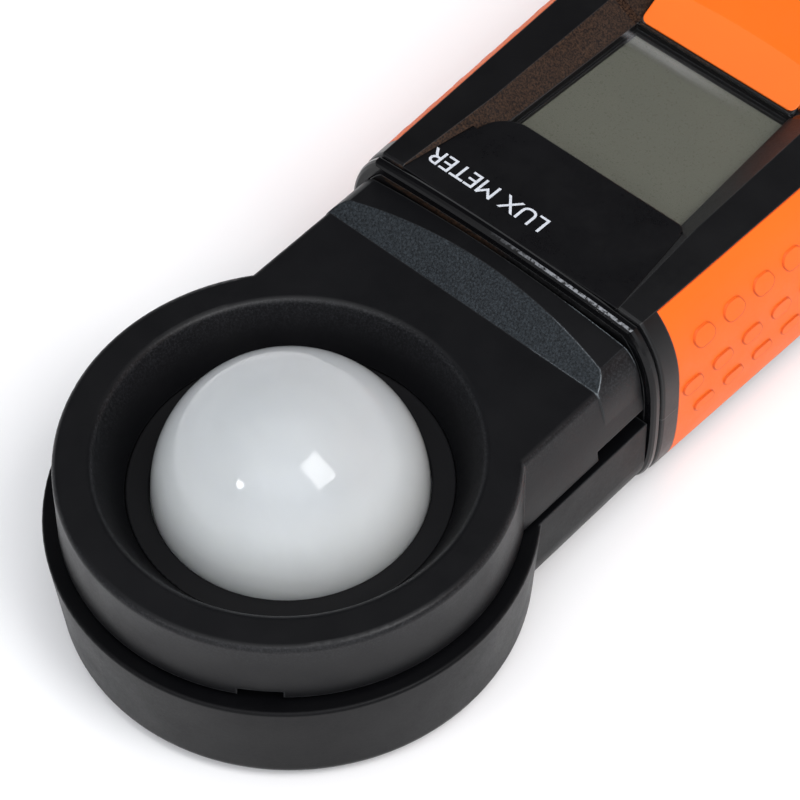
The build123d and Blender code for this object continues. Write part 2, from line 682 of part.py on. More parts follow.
nameplate = funnel & side_cut([
    (RING_BACK_Y, NAMEPLATE_START_Z), (NAMEPLATE_END_Y, NAMEPLATE_END_Z),
    (NAMEPLATE_END_Y, NAMEPLATE_END_Z - NAMEPLATE_T), (RING_BACK_Y, NAMEPLATE_START_Z - NAMEPLATE_T),
])
for side, radius in NAMEPLATE_ROUND.items():
    edge_x = LENS_START_HALF + 1.2
    centre_x = side * (edge_x - radius)
    corner = block(centre_x, side * 20, NAMEPLATE_END_Y - 1, NAMEPLATE_END_Y + radius, LENS_TOP_Z, 32)
    corner = (corner - post(centre_x, NAMEPLATE_END_Y + radius, radius, 20, above_body)) & funnel
    nameplate = nameplate - corner
    recess_air = recess_air + corner

lens_start_y = NAMEPLATE_END_Y + 2.4
lens_plan = mirrored([(LENS_START_HALF, lens_start_y), (LENS_END_HALF, LENS_END_Y)])
lens = plan(lens_plan, LENS_TOP_Z - LENS_T, LENS_TOP_Z)
window_plan = mirrored([(LENS_START_HALF - 0.4, NAMEPLATE_END_Y + 1.0), (LENS_END_HALF - 0.4, LENS_END_Y + 0.6)])
window = plan(window_plan, 24.0, LENS_TOP_Z)
lip_bead = Pos(0, (LENS_END_Y + LIP_Y) / 2, LENS_TOP_Z) * Rot(0, 90, 0) * Cylinder(LIP_BEAD_R, 24.4)

# ---- orange front panel, filling the rest of the funnel ----
panel_air_top = 34.0
panel_step_z = LENS_TOP_Z - 1.1
panel_outline = plan(
    mirrored([
        (PANEL_HALF_LIP, LIP_Y), (PANEL_HALF_LIP, GUTTER_END_Y), (PANEL_HALF, PANEL_FLARE_Y),
        (PANEL_HALF, PANEL_END_Y),
    ]),
    20.0,
    above_body,
)
upright = panel_outline.edges().filter_by(Axis.Z).sort_by(Axis.Y)
panel_outline = fillet(upright[:2], PANEL_CORNER_R)
upright = panel_outline.edges().filter_by(Axis.Z).filter_by(lambda edge: edge.center().Y > PANEL_FLARE_Y - 0.1)
panel_outline = fillet(upright, PANEL_SOFT_R)
panel = panel_outline & funnel & outer & side_cut([
    (LIP_Y, LIP_Z), (SLOPE_END_Y, BODY_TOP_Z + 0.05), (SLOPE_END_Y, panel_air_top),
    (PANEL_END_Y, panel_air_top), (PANEL_END_Y, PANEL_LOW_Z), (SLOPE_END_Y - 0.4, PANEL_LOW_Z),
    (LIP_Y - 1.3, panel_step_z), (LIP_Y, panel_step_z),
])


# ---- buttons ----
def key_prism(x, y, width, height, grow, z0, z1):
    """Rounded button outline, grown all round, between two levels."""
    outline = RectangleRounded(width + 2 * grow, height + 2 * grow, BUTTON_ROUND * height + grow)
    return Pos(x, y, z0) * extrude(outline, amount=z1 - z0)


def make_button(x, y, width, height):
    """Cap with a rounded top, a flange that keeps it in and a stem onto its switch."""
    cap = key_prism(x, y, width, height, 0, BUTTON_LOW_Z, BUTTON_TOP_Z)
    cap = fillet(cap.edges().group_by(Axis.Z)[-1], BUTTON_EDGE_ROUND)
    flange_top = BUTTON_LOW_Z + BUTTON_FLANGE_T
    cap = cap + key_prism(x, y, width, height, BUTTON_FLANGE_GROW, BUTTON_LOW_Z, flange_top)
    return cap + post(x, y, BUTTON_STEM_R, BUTTON_STEM_Z, BUTTON_LOW_Z + 0.5)


def make_switch_dome(x, y):
    """Domed switch plate on the board under a button."""
    face = make_face(Polyline(*[(r, 0, z) for r, z in SWITCH_DOME_OUTLINE], close=True))
    return Pos(x, y, BOARD_TOP_Z) * revolve(face, Axis.Z, 360)


button_wells = [
    key_prism(*key, MOVING_GAP, BUTTON_LOW_Z, BUTTON_TOP_Z + 2) for key in BUTTONS.values()
]
for name, key in BUTTONS.items():
    save(name, make_button(*key))
save("switch_domes", *[make_switch_dome(x, y) for x, y, width, height in BUTTONS.values()])
for well in button_wells:
    panel = panel - well
save("front_panel", panel)
save("nameplate", nameplate)
save("display_lens", lens)


# ======================= case halves =======================
case = outer + nose - grip_base - cavity
rib = block(-12, 12, 15.6, 12.6, 1.5, 26.0)
case = case + (rib & outer)
case = case - rod(0, AXIS_Z, SHAFT_R + MOVING_GAP, 30, BUSHING_START_Y)
case = case - rod(0, AXIS_Z, BUSHING_R, BUSHING_START_Y, 5)


def make_front_case():
    shell = case & block(-FULL_HALF, FULL_HALF, -FAR, FULL_HALF, AXIS_Z, 60)
    for x, y in both_sides(CASE_SCREW_X, CASE_SCREW_YS):
        boss = post(x, y, CASE_BOSS_R, AXIS_Z, CAVITY_TOP_Z + 0.5)
        shell = shell + (boss & under_grip)
        shell = shell - post(x, y, CASE_PILOT_R, AXIS_Z - 1, CASE_PILOT_TOP_Z)
    for x, y in both_sides(BOARD_SCREW_X, BOARD_SCREW_YS):
        boss = post(x, y, BOARD_BOSS_R, BOARD_TOP_Z, CAVITY_TOP_Z + 0.5)
        shell = shell + (boss & under_grip)
        shell = shell - post(x, y, BOARD_PILOT_R, BOARD_TOP_Z - 1, 24.2)
    pocket_gap = 0.1
    lcd_pocket = block(
        -FRAME_HALF - pocket_gap, FRAME_HALF + pocket_gap, FRAME_START_Y + 2 * pocket_gap,
        FRAME_END_Y - 2 * pocket_gap, CAVITY_TOP_Z - 1, LCD_POCKET_Z,
    )
    shell = shell - recess_air - nameplate - lens - window - panel - lcd_pocket
    for key_well in button_wells:
        shell = shell - key_well
    return shell + lip_bead


def make_rear_case():
    shell = case & block(-FULL_HALF, FULL_HALF, -FAR, FULL_HALF, -10, AXIS_Z)
    bay_outer = BAY_HALF + BAY_WALL
    inner = block(-bay_outer, bay_outer, BAY_START_Y + BAY_WALL, BAY_END_Y - BAY_WALL, 0, AXIS_Z)
    for x, y in both_sides(CASE_SCREW_X, CASE_SCREW_YS):
        inner = inner + post(x, y, CASE_COLUMN_R, 0, AXIS_Z)
    shell = shell + (inner & under_grip)
    shell = shell - block(-BAY_HALF, BAY_HALF, BAY_START_Y, BAY_END_Y, -1, BAY_ROOF_Z)
    channel = DOOR_HALF + MOVING_GAP
    shell = shell - block(-channel, channel, DOOR_START_Y, -FAR, -1, DOOR_CHANNEL_Z)
    groove = channel + TONGUE
    shell = shell - block(-groove, groove, DOOR_START_Y, -FAR, TONGUE_Z - MOVING_GAP, DOOR_CHANNEL_Z)
    for x, y in both_sides(CASE_SCREW_X, CASE_SCREW_YS):
        shell = shell - post(x, y, CASE_HEAD_R + 0.15, -1, CASE_HEAD_TOP_Z)
        shell = shell - post(x, y, CASE_PILOT_R + 0.15, 0, 20)
    return shell


save("front_case", make_front_case())
save("rear_case", make_rear_case())


# ---- battery door, sliding off toward the tail ----
def make_door():
    front_y = DOOR_START_Y - MOVING_GAP
    door = block(-DOOR_HALF, DOOR_HALF, front_y, -FAR, 0, DOOR_T) & outer
    tongue_half = DOOR_HALF + TONGUE
    door = door + block(-tongue_half, tongue_half, front_y, TONGUE_END_Y, TONGUE_Z, DOOR_T)
    for groove_index in range(THUMB_GROOVES):
        y = THUMB_GROOVE_START_Y - groove_index * THUMB_GROOVE_PITCH
        door = door - Pos(0, y, 0) * Box(THUMB_GROOVE_WIDTH, THUMB_GROOVE_SIZE, THUMB_GROOVE_SIZE)
    return door - block(-PAD_HALF, PAD_HALF, PAD_START_Y, PAD_END_Y, PAD_LOW_Z, 3)


save("battery_door", make_door())
save("battery_pad", block(-PAD_HALF, PAD_HALF, PAD_START_Y, PAD_END_Y, PAD_LOW_Z, PAD_TOP_Z))

# ---- swivel bushing ----
bushing = rod(0, AXIS_Z, BUSHING_R, BUSHING_START_Y, BUSHING_END_Y)
save("swivel_bushing", bushing - rod(0, AXIS_Z, SHAFT_R + RUNNING_FIT, 30, 0))

# ---- display ----
lcd_plan = (-LCD_HALF, LCD_HALF, LCD_START_Y, LCD_END_Y)
glass_top = LCD_TOP_Z - POLARISER_T
save("lcd_glass", block(*lcd_plan, LCD_LOW_Z, glass_top))
save("lcd_polariser", block(-POLARISER_HALF, POLARISER_HALF, 5.0, -22.0, glass_top, LCD_TOP_Z))
lcd_frame = block(-FRAME_HALF, FRAME_HALF, FRAME_START_Y, FRAME_END_Y, BOARD_TOP_Z, LCD_TOP_Z)
save("lcd_frame", lcd_frame - block(*lcd_plan, 0, FULL_HALF))
save("lcd_contact_strips", *[
    block(-STRIP_HALF, STRIP_HALF, y, y - STRIP_T, BOARD_TOP_Z, LCD_LOW_Z) for y in STRIP_YS
])


# ---- main board ----
def make_board():
    board = block(-BOARD_HALF, BOARD_HALF, BOARD_START_Y, BOARD_END_Y, BOARD_Z, BOARD_TOP_Z)
    board = fillet(board.edges().filter_by(Axis.Z), BOARD_CORNER_R)
    for x, y in both_sides(CASE_SCREW_X, CASE_SCREW_YS):
        board = board - post(x, y, CASE_COLUMN_R + MOVING_GAP, 0, FULL_HALF)
    for x, y in both_sides(BOARD_SCREW_X, BOARD_SCREW_YS):
        board = board - post(x, y, BOARD_PILOT_R + 0.1, 0, FULL_HALF)
    return board


def make_board_screw(x, y):
    head_low = BOARD_Z - BOARD_HEAD_T
    screw = post(x, y, BOARD_HEAD_R, head_low, BOARD_Z) + post(x, y, BOARD_PILOT_R, BOARD_Z, 23.8)
    return screw - Pos(x, y, head_low) * Box(2.2, 0.5, 1.0)


def make_case_screw(x, y):
    screw = post(x, y, CASE_HEAD_R, CASE_HEAD_LOW_Z, CASE_HEAD_TOP_Z)
    screw = screw + post(x, y, CASE_PILOT_R, CASE_HEAD_TOP_Z, CASE_PILOT_TOP_Z - 0.2)
    cross = Pos(x, y, CASE_HEAD_LOW_Z)
    return screw - cross * Box(2.6, 0.6, 1.6) - cross * Box(0.6, 2.6, 1.6)


save("main_board", make_board())
save("board_screws", *[make_board_screw(x, y) for x, y in both_sides(BOARD_SCREW_X, BOARD_SCREW_YS)])
save("case_screws", *[make_case_screw(x, y) for x, y in both_sides(CASE_SCREW_X, CASE_SCREW_YS)])
save("board_chips", *[block(*corners, BOARD_Z - CHIP_T, BOARD_Z) for corners in CHIPS])
capacitors = [post(x, y, radius, BOARD_Z - CAN_H, BOARD_Z) for x, y, radius in CAN_CAPACITORS]
for x in SMALL_CAPACITOR_XS:
    capacitors.append(Pos(x, SMALL_CAPACITOR_Y, BOARD_Z - 0.45) * Box(3.2, 1.6, 0.9))
save("board_capacitors", *capacitors)
socket = block(-SOCKET_HALF, SOCKET_HALF, SOCKET_START_Y, SOCKET_END_Y, SOCKET_LOW_Z, BOARD_Z)
save("sensor_socket", socket - rod(0, AXIS_Z, LEAD_R + 0.08, 8.0, SOCKET_BORE_END_Y))

# ---- battery cells and contacts ----
spring_length = (BAY_START_Y - BAY_END_Y) - 2 * PLATE_T - CELL_LENGTH - CELL_NUB - 2 * CONTACT_GAP


def make_spring():
    """Coil spring along Y, starting at the origin."""
    coil = Helix(SPRING_PITCH, spring_length - 2 * SPRING_WIRE_R, SPRING_COIL_R, direction=(0, 1, 0))
    wire = Plane(origin=coil @ 0, z_dir=coil % 0) * Circle(SPRING_WIRE_R)
    return sweep(wire, path=coil, is_frenet=True)


cells = []
plates = []
springs = []
for index in (-1, 0, 1):
    x = index * CELL_PITCH
    nub_direction = 1 if index else -1
    if nub_direction > 0:
        nub_tip = BAY_START_Y - PLATE_T - CONTACT_GAP
    else:
        nub_tip = BAY_END_Y + PLATE_T + CONTACT_GAP
    shoulder = nub_tip - nub_direction * CELL_NUB
    base = shoulder - nub_direction * CELL_LENGTH
    cells.append(rod(x, CELL_Z, CELL_R, shoulder, base) + rod(x, CELL_Z, CELL_NUB_R, nub_tip, shoulder))
    for y0, y1 in ((BAY_START_Y, BAY_START_Y - PLATE_T), (BAY_END_Y, BAY_END_Y + PLATE_T)):
        plates.append(block(x - PLATE_HALF, x + PLATE_HALF, y0, y1, PLATE_LOW_Z, PLATE_TOP_Z))
    low_end = min(base, base - nub_direction * spring_length)
    springs.append(Pos(x, low_end + SPRING_WIRE_R, CELL_Z) * make_spring())
save("battery_cells", *cells)
save("battery_contact_plates", *plates)
save("battery_contact_springs", *springs)
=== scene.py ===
import math

import bpy
import bmesh
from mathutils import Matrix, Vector


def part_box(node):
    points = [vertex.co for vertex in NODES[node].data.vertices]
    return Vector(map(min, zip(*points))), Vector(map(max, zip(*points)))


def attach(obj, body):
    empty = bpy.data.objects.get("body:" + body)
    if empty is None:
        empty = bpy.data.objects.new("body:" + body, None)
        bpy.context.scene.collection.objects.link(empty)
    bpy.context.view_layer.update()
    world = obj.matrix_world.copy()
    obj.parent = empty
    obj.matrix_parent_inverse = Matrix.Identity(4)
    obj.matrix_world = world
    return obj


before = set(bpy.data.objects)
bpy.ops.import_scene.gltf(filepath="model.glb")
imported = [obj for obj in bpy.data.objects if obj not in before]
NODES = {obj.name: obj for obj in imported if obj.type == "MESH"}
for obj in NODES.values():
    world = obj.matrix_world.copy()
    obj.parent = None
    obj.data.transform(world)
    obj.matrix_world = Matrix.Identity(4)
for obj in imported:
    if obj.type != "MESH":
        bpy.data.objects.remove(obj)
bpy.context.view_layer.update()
MM = 0.001


# ---------------------------------------------------------------- node helpers
class Shader:
    """A material under construction: one Principled shader plus small helpers."""

    def __init__(self, name, base, rough, **sockets):
        self.material = bpy.data.materials.new(name)
        self.material.use_nodes = True
        self.tree = self.material.node_tree
        self.tree.nodes.clear()
        output = self.tree.nodes.new("ShaderNodeOutputMaterial")
        self.bsdf = self.tree.nodes.new("ShaderNodeBsdfPrincipled")
        self.link(self.bsdf.outputs[0], output.inputs["Surface"])
        self.set(base_color=(*base, 1.0), roughness=rough, **sockets)
        self.base = base
        self.rough = rough
        texture = self.node("ShaderNodeTexCoord")
        self.coords = texture.outputs["Object"]
        self.local_normal = texture.outputs["Normal"]

    def node(self, kind, **values):
        made = self.tree.nodes.new(kind)
        for key, value in values.items():
            setattr(made, key, value)
        return made

    def link(self, source, target):
        self.tree.links.new(source, target)

    def feed(self, target, value):
        """Put a number, a colour or another node's output into a socket."""
        if isinstance(value, bpy.types.NodeSocket):
            self.link(value, target)
        elif isinstance(value, tuple) and len(value) == 3 and target.type == "RGBA":
            target.default_value = (*value, 1.0)
        else:
            target.default_value = value

    def set(self, **sockets):
        """Set shader sockets by name: specular_ior_level=0.5 and so on."""
        words = {socket.name.lower().replace(" ", "_"): socket for socket in self.bsdf.inputs}
        for name, value in sockets.items():
            self.feed(words[name], value)

    def stretched(self, scale):
        mapping = self.node("ShaderNodeMapping")
        mapping.inputs["Scale"].default_value = scale
        self.link(self.coords, mapping.inputs["Vector"])
        return mapping.outputs[0]

    def noise(self, per_metre, detail=2.0, rough=0.5, vector=None):
        made = self.node("ShaderNodeTexNoise")
        self.feed(made.inputs["Scale"], per_metre)
        self.feed(made.inputs["Detail"], detail)
        self.feed(made.inputs["Roughness"], rough)
        self.link(vector or self.coords, made.inputs["Vector"])
        return made.outputs["Fac"]

    def cells(self, per_metre, feature="F1"):
        made = self.node("ShaderNodeTexVoronoi", feature=feature)
        self.feed(made.inputs["Scale"], per_metre)
        self.link(self.coords, made.inputs["Vector"])
        return made.outputs["Distance"]

    def math(self, operation, a, b=0.0):
        made = self.node("ShaderNodeMath", operation=operation)
        self.feed(made.inputs[0], a)
        self.feed(made.inputs[1], b)
        return made.outputs[0]

    def product(self, first, *others):
        """All of these multiplied together."""
        for other in others:
            first = self.math("MULTIPLY", first, other)
        return first

    def ramp(self, source, low, high, out_low=0.0, out_high=1.0):
        """Straight ramp between two values of the source, held level beyond them."""
        made = self.node("ShaderNodeMapRange", clamp=True)
        limits = {"From Min": low, "From Max": high, "To Min": out_low, "To Max": out_high}
        for name, value in limits.items():
            self.feed(made.inputs[name], value)
        self.link(source, made.inputs["Value"])
        return made.outputs[0]

    def within(self, name, low, high):
        """Ramp along one coordinate, given in millimetres."""
        return self.ramp(self.place(name), low * MM, high * MM)

    def mix(self, factor, a, b):
        made = self.node("ShaderNodeMix", data_type="RGBA")
        self.feed(made.inputs[0], factor)
        self.feed(made.inputs[6], a)
        self.feed(made.inputs[7], b)
        return made.outputs[2]

    def axis(self, source, name):
        made = self.node("ShaderNodeSeparateXYZ")
        self.link(source, made.inputs[0])
        return made.outputs[name]

    def place(self, name):
        """Coordinate in the piece's own frame, in metres. At rest it is the row's frame."""
        return self.axis(self.coords, name)

    def facing(self, name):
        """One component of the surface normal, in the piece's own frame so that it turns with it."""
        return self.axis(self.local_normal, name)

    def rounded(self, radius):
        """Normal that rounds off sharp edges."""
        made = self.node("ShaderNodeBevel", samples=6)
        self.feed(made.inputs["Radius"], radius)
        return made.outputs[0]

    def edge_mask(self, rounded):
        """1 where the rounded normal leaves the true one, along edges."""
        dot = self.node("ShaderNodeVectorMath", operation="DOT_PRODUCT")
        self.link(rounded, dot.inputs[0])
        self.link(self.node("ShaderNodeNewGeometry").outputs["Normal"], dot.inputs[1])
        return self.ramp(dot.outputs["Value"], 0.995, 0.90)

    def bump(self, height, strength, distance, base_normal=None):
        made = self.node("ShaderNodeBump")
        self.feed(made.inputs["Distance"], distance)
        self.feed(made.inputs["Strength"], strength)
        self.link(height, made.inputs["Height"])
        if base_normal is not None:
            self.link(base_normal, made.inputs["Normal"])
        return made.outputs[0]

    def uneven_gloss(self, fine, spread=0.06):
        """Roughness that drifts with handling marks and the fine grain."""
        wipe = self.noise(160.0, 4.0, 0.65)
        blend = self.math("ADD", self.product(wipe, 0.6), self.product(fine, 0.4))
        return self.ramp(blend, 0.35, 0.65, self.rough - spread, self.rough + spread)

    def drifting(self, vary, per_metre=45.0):
        """Base colour that drifts slightly in shade."""
        darker = tuple(c * (1 - vary) for c in self.base)
        lighter = tuple(min(1.0, c * (1 + vary)) for c in self.base)
        return self.mix(self.ramp(self.noise(per_metre, 3.0), 0.3, 0.7), darker, lighter)


def moulded(
    name, base, rough, grain=2600.0, depth=0.02, strength=0.3, vary=0.2, bevel=0.25, worn=None, **sockets
):
    """Injection-moulded plastic: fine grain, shade drift, uneven gloss and lighter, softened edges."""
    s = Shader(name, base, rough, **sockets)
    fine = s.noise(grain, 3.0, 0.6)
    tint = s.drifting(vary)
    edge = s.rounded(bevel * MM) if bevel else None
    if worn:
        tint = s.mix(s.product(s.edge_mask(edge), s.ramp(fine, 0.35, 0.6)), tint, worn)
    s.set(base_color=tint, roughness=s.uneven_gloss(fine), normal=s.bump(fine, strength, depth * MM, edge))
    return s


def metal(name, base, rough, per_metre=1500.0, stretch=(1, 1, 1)):
    """Bright metal with fine drawn or stamped marks."""
    s = Shader(name, base, rough, metallic=1.0)
    marks = s.noise(per_metre, 3.0, 0.6, s.stretched(stretch))
    s.set(base_color=s.drifting(0.12, 400.0), roughness=s.ramp(marks, 0.3, 0.7, rough - 0.08, rough + 0.12))
    s.set(normal=s.bump(marks, 0.2, 0.01 * MM))
    return s


def apply(shader, *names):
    """Give these nodes this material and no other."""
    for name in names:
        materials = NODES[name].data.materials
        materials.clear()
        materials.append(shader.material)


# ---------------------------------------------------------------- black plastics
# paler grey for edges: partly wear, partly a painted highlight on their rounding
EDGE_WEAR_AND_HIGHLIGHT = (0.060, 0.062, 0.065)
RAMP_BASE = (0.0048, 0.0065, 0.0082)
RAMP_SPECK_AND_GLINT = (0.033, 0.041, 0.048)
RAMP_CORNER = (0.22, 0.25, 0.27)
BOWL_GLINT = (0.026, 0.027, 0.030)
WALL_GLINT_PLAIN = (0.022, 0.022, 0.022)
WALL_GLINT_REFLECTED_ORANGE = (0.062, 0.034, 0.020)
RING_CREST = (0.21, 0.22, 0.235)


def softened(s, edge, fine):
    """Drifting base colour that turns to a paler grey along the edges, partly wear and partly a painted
    highlight.
    """
    wear_and_highlight = s.product(s.edge_mask(edge), s.ramp(fine, 0.0, 1.0, 0.35, 0.75))
    return s.mix(wear_and_highlight, s.drifting(0.2), EDGE_WEAR_AND_HIGHLIGHT)


def head_plastic(name, base, specular):
    """Matt black shell whose ramp, between plate and neck, is coarsely spark-textured."""
    s = Shader(name, base, 0.38, specular_ior_level=specular)
    fine = s.noise(2800.0, 3.0, 0.6)
    edge = s.rounded(0.3 * MM)
    tint = softened(s, edge, fine)

    # painted glints: a fine sparkle on the bowl's flank toward its upper edge
    flank = s.product(s.within("Z", 22.0, 26.0), s.ramp(s.facing("Z"), 0.95, 0.85))
    glint = s.product(flank, s.ramp(s.noise(3600.0, 4.0, 0.8), 0.45, 0.72))
    tint = s.mix(glint, tint, BOWL_GLINT)

    # the ramp is the slope that faces +Y above the plate and behind its edge
    tilt = s.product(s.ramp(s.facing("Y"), 0.40, 0.46), s.ramp(s.facing("Z"), 0.70, 0.80))
    ramp_mask = s.product(tilt, s.product(s.within("Z", 25.7, 25.95), s.within("Y", 29.0, 28.5)))
    # pale specks: the spark texture's grain, brightened as painted glints
    speck_and_glint = s.ramp(s.noise(3400.0, 4.0, 0.8), 0.42, 0.70)
    tint = s.mix(ramp_mask, tint, s.mix(speck_and_glint, RAMP_BASE, RAMP_SPECK_AND_GLINT))

    # a painted glint on the ramp's corner toward -X stands in for the photo's highlight
    corner = s.product(s.within("X", -10.5, -12.5), s.within("Z", 25.2, 26.2), s.within("Y", 31.0, 29.5))
    painted = s.product(corner, s.edge_mask(edge), s.ramp(fine, 0.30, 0.55))
    s.set(base_color=s.mix(painted, tint, RAMP_CORNER))

    s.set(roughness=s.uneven_gloss(fine))
    pits = s.product(s.cells(3600.0), ramp_mask, 1.5)
    s.set(normal=s.bump(s.math("ADD", s.product(fine, 0.3), pits), 0.35, 0.05 * MM, edge))
    return s


def case_plastic():
    """Body black: satin rails, recess walls with a painted sparkle and a polished lip at the window."""
    s = Shader("case_black", (0.0029, 0.0029, 0.0034), 0.34, specular_ior_level=0.28)
    fine = s.noise(2400.0, 3.0, 0.6)
    edge = s.rounded(0.22 * MM)

    # only the recess walls slant this high up and this near the middle; their sparkle is painted glints,
    # brown on the +X wall as a painted reflection of the orange panel
    slanted = s.product(s.ramp(s.facing("Z"), 0.92, 0.86), s.within("Z", 27.8, 28.2))
    wall = s.product(slanted, s.ramp(s.math("ABSOLUTE", s.place("X")), 19.5 * MM, 18.5 * MM))
    glint = s.product(wall, s.ramp(s.noise(3600.0, 3.0, 0.75), 0.40, 0.72))
    sparkle = s.mix(s.within("X", -2.0, 2.0), WALL_GLINT_PLAIN, WALL_GLINT_REFLECTED_ORANGE)
    s.set(base_color=s.mix(glint, softened(s, edge, fine), sparkle))

    # the lip is the bead between the window and the key panel
    lip = s.product(s.within("Y", -20.8, -21.1), s.within("Y", -22.1, -21.95), s.within("Z", 27.5, 27.8))
    gloss = s.math("SUBTRACT", s.uneven_gloss(fine), s.product(lip, 0.28))
    s.set(roughness=gloss, normal=s.bump(fine, 0.35, 0.025 * MM, edge))
    return s


def ring_gloss():
    """Polished collar bead with a glint painted along its crest."""
    s = Shader("ring_gloss", (0.003, 0.003, 0.0035), 0.12, specular_ior_level=0.22)
    fine = s.noise(2600.0, 3.0, 0.6)

    # two painted hairlines stand in for the photo's highlight toward the -X shoulder,
    # one each side of where the bead's normal leans 0.60 toward +Y
    off_crest = s.math("ABSOLUTE", s.math("SUBTRACT", s.facing("Y"), 0.60))
    crest = s.product(s.ramp(off_crest, 0.14, 0.16), s.ramp(off_crest, 0.21, 0.19))
    reach = s.product(s.within("X", 2.0, -9.0), s.within("Z", 25.0, 27.0))
    painted = s.product(s.product(crest, reach), s.ramp(s.noise(2400.0, 2.0), 0.38, 0.56))
    s.set(base_color=s.mix(painted, s.drifting(0.2), RING_CREST))
    s.set(roughness=s.uneven_gloss(fine, 0.04), normal=s.bump(fine, 0.03, 0.02 * MM))
    return s


apply(head_plastic("head_black", (0.0028, 0.0029, 0.0036), 0.22), "head_upper_shell")
apply(head_plastic("pan_black", (0.0017, 0.0018, 0.0023), 0.10), "head_lower_shell")
apply(case_plastic(), "front_case", "rear_case", "battery_door")
apply(ring_gloss(), "collar_ring")
apply(
    moulded(
        "nameplate_black", (0.0036, 0.0036, 0.0043), 0.32, grain=1800.0, strength=0.06,
        specular_ior_level=0.28,
    ),
    "nameplate",
)
apply(
    moulded("dome_ring_black", (0.0028, 0.0028, 0.0034), 0.5, strength=0.2, specular_ior_level=0.18),
    "dome_retaining_ring",
)
apply(
    moulded("key_black", (0.010, 0.010, 0.011), 0.5, grain=1500.0, worn=(0.03, 0.03, 0.032)),
    "hold_button", "max_min_button", "units_button", "power_button",
)
apply(moulded("contact_rubber", (0.03, 0.03, 0.032), 0.7, grain=900.0), "lcd_contact_strips")
apply(moulded("chip_black", (0.02, 0.02, 0.022), 0.55, grain=3000.0), "board_chips", "filter_holder")
apply(moulded("lead_jacket", (0.025, 0.025, 0.028), 0.45, grain=1200.0), "sensor_lead")

# ---------------------------------------------------------------- orange
ORANGE = (0.87, 0.150, 0.008)
ORANGE_PAINTED_SHADE = (0.56, 0.060, 0.004)


def grip_rubber():
    """Soft orange over-moulding, with painted shade darkening its edges round the raised pads."""
    s = Shader("grip_orange", (0.83, 0.128, 0.004), 0.5, specular_ior_level=0.28)
    fine = s.noise(2200.0, 3.0, 0.65)
    soft = s.noise(420.0, 2.0)
    edge = s.rounded(0.32 * MM)
    # painted shade: edges, as round the raised pads, turn a deeper orange on top of their real bevel
    # shading
    tint = s.mix(s.product(s.edge_mask(edge), 0.8), s.drifting(0.05), ORANGE_PAINTED_SHADE)
    s.set(base_color=tint, roughness=s.uneven_gloss(fine))
    height = s.math("ADD", s.product(fine, 0.5), s.product(soft, 0.5))
    s.set(normal=s.bump(height, 0.3, 0.03 * MM, edge))
    return s


apply(grip_rubber(), "grip_cover")
apply(
    moulded(
        "panel_orange", ORANGE, 0.42, grain=1700.0, depth=0.015, vary=0.05, bevel=0.3,
        worn=(0.9, 0.18, 0.02), specular_ior_level=0.35,
    ),
    "front_panel",
)


# ---------------------------------------------------------------- dome, lens and display
def opal_dome():
    """Moulded opal diffuser: smooth gloss, faint flow marks and light scattered inside."""
    s = Shader("dome_opal", (0.56, 0.60, 0.66), 0.06, subsurface_weight=0.9, subsurface_scale=0.012)
    s.set(subsurface_radius=(1.0, 1.0, 1.1), specular_ior_level=0.35)
    flow = s.noise(60.0, 3.0, 0.5)
    fine = s.noise(1800.0, 2.0)
    tint = s.mix(s.ramp(flow, 0.3, 0.7), (0.545, 0.590, 0.655), (0.575, 0.610, 0.665))
    # painted light: paler and cooler toward the foot, lifting the shade there
    s.set(base_color=s.mix(s.within("Z", 31.0, 23.5), tint, (0.70, 0.76, 0.83)))
    s.set(roughness=s.ramp(fine, 0.3, 0.7, 0.045, 0.075), normal=s.bump(flow, 0.05, 0.1 * MM))
    return s


def window_plastic():
    """Clear acrylic, faintly smoked, with a few wipe marks."""
    s = Shader("window_clear", (0.02, 0.02, 0.02), 0.05, ior=1.49, alpha=0.2)
    wipe = s.noise(220.0, 4.0, 0.7, s.stretched((1.0, 6.0, 1.0)))
    # a painted pale line stands in for the soft reflection just short of the far edge
    line = s.product(s.within("Y", -17.9, -18.9), s.within("Y", -19.8, -19.1), s.within("X", -9.0, 3.0))
    s.set(base_color=s.mix(line, (0.02, 0.02, 0.02), (0.34, 0.34, 0.35)))
    s.set(alpha=s.ramp(line, 0.0, 1.0, 0.17, 0.30))
    s.set(roughness=s.ramp(wipe, 0.4, 0.7, 0.03, 0.09))
    return s


def display_film():
    """Grey-green polariser of a switched-off liquid crystal display."""
    s = Shader("display_film", (0.205, 0.210, 0.166), 0.3, coat_weight=0.3, coat_roughness=0.12)
    fine = s.noise(3200.0, 2.0, 0.6)
    cloud = s.noise(70.0, 2.0)
    tint = s.mix(s.ramp(cloud, 0.35, 0.65), (0.196, 0.202, 0.160), (0.214, 0.218, 0.172))
    tint = s.mix(s.ramp(fine, 0.3, 0.7, 0.0, 0.10), tint, (0.24, 0.24, 0.21))
    s.set(base_color=tint, roughness=s.ramp(fine, 0.3, 0.7, 0.26, 0.34))
    return s


apply(opal_dome(), "diffuser_dome")
apply(window_plastic(), "display_lens")
apply(display_film(), "lcd_polariser")
apply(moulded("display_glass", (0.10, 0.105, 0.09), 0.12, strength=0.02), "lcd_glass")
apply(moulded("white_plastic", (0.62, 0.61, 0.58), 0.45), "lcd_frame", "sensor_socket")


# ---------------------------------------------------------------- inside
def circuit_board():
    """Green solder mask over copper tracks, with tinned pads."""
    s = Shader("board_green", (0.012, 0.10, 0.035), 0.32)
    tracks = s.ramp(s.cells(330.0, "DISTANCE_TO_EDGE"), 0.09, 0.06)
    pads = s.ramp(s.cells(300.0), 0.16, 0.13)
    tint = s.mix(tracks, s.drifting(0.15), (0.03, 0.17, 0.06))
    s.set(base_color=s.mix(pads, tint, (0.55, 0.53, 0.46)), metallic=s.product(pads, 0.8))
    s.set(normal=s.bump(tracks, 0.4, 0.03 * MM))
    return s


